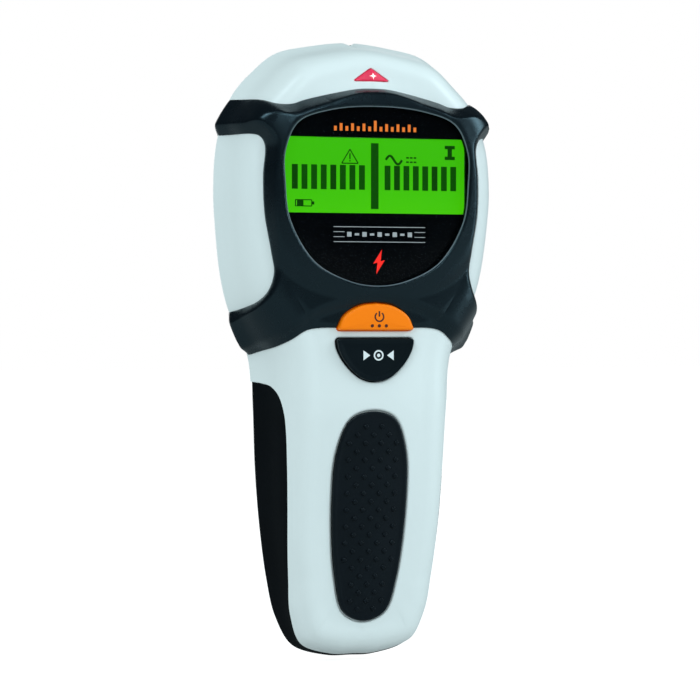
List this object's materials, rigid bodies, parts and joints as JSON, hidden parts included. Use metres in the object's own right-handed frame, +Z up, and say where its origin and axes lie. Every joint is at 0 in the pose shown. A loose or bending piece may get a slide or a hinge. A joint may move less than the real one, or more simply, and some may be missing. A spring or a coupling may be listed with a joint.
{
  "type": "stud finder",
  "caption": "Handheld stud finder: wide sensor head with a lit display in a rubber frame, mode and calibration buttons, tapered grip handle with a hinged battery cover.",
  "frame": {"origin": "centre of the sensor head's glide plate, on its sensing face", "axes": "+Z up the long axis from the handle to the head, +Y out of the flat back towards the wall being scanned, -Y out of the display, +X to the right when seen from the front"},
  "size_m": [0.0976, 0.0322, 0.2026],
  "materials": {
    "white_shell": "satin cool white",
    "black_shell": "fine matte",
    "rubber": "satin moulded",
    "glide": "smooth",
    "window": "clear, polished",
    "printed_mask": "printed",
    "lcd": "lit",
    "light_guide": "satin",
    "contact_rubber": "matte",
    "frame_plastic": "moulded",
    "red_lens": "clear red",
    "orange_key": "satin",
    "black_key": "satin",
    "switch_red": "moulded",
    "board": "solder mask",
    "chip": "moulded",
    "copper": "bare metal",
    "steel": "bright",
    "former": "moulded",
    "battery_case": "printed sleeve",
    "foam": "open cell",
    "red_wire": "insulated",
    "black_wire": "insulated"
  },
  "bodies": {
    "housing": {"front_shell": "white_shell", "rear_shell": "black_shell", "rubber_frame": "rubber", "glide_plate": "glide", "grip_pad": "rubber", "marker_lens": "red_lens", "window_mask": "printed_mask", "display_window": "window", "lcd_glass": "lcd", "backlight_panel": "light_guide", "contact_strip_upper": "contact_rubber", "contact_strip_lower": "contact_rubber", "lcd_frame": "frame_plastic", "main_board": "board", "microcontroller": "chip", "signal_amplifier": "chip", "crystal": "steel", "buzzer": "chip", "marker_led": "red_lens", "warning_led": "red_lens", "mode_switch_base": "chip", "cal_switch_base": "chip", "sensor_board": "board", "sensing_plate_left": "copper", "sensing_plate_right": "copper", "coil_former": "former", "sensor_coil": "copper", "board_link": "chip", "battery": "battery_case", "battery_snap": "chip", "battery_foam": "foam", "red_lead": "red_wire", "black_lead": "black_wire", "hinge_pin": "steel", "case_screw_1": "steel", "case_screw_2": "steel", "case_screw_3": "steel", "case_screw_4": "steel", "case_screw_5": "steel", "board_screw_1": "steel", "board_screw_2": "steel", "board_screw_3": "steel", "board_screw_4": "steel"},
    "mode_key": {"mode_button": "orange_key", "mode_switch_actuator": "switch_red"},
    "cal_key": {"cal_button": "black_key", "cal_switch_actuator": "switch_red"},
    "battery_door": {"battery_cover": "black_shell"}
  },
  "joints": [
    {"name": "mode_press", "type": "slide", "parent": "housing", "child": "mode_key", "axis": [0, 1, 0], "range_m": [0, 0.0008], "stiffness_N_per_m": 1900},
    {"name": "cal_press", "type": "slide", "parent": "housing", "child": "cal_key", "axis": [0, 1, 0], "range_m": [0, 0.0008], "stiffness_N_per_m": 1900},
    {"name": "battery_cover_hinge", "type": "hinge", "parent": "housing", "child": "battery_door", "pos_m": [0, -0.0024, -0.117], "axis": [-1, 0, 0], "range_deg": [0, 88]}
  ]
}
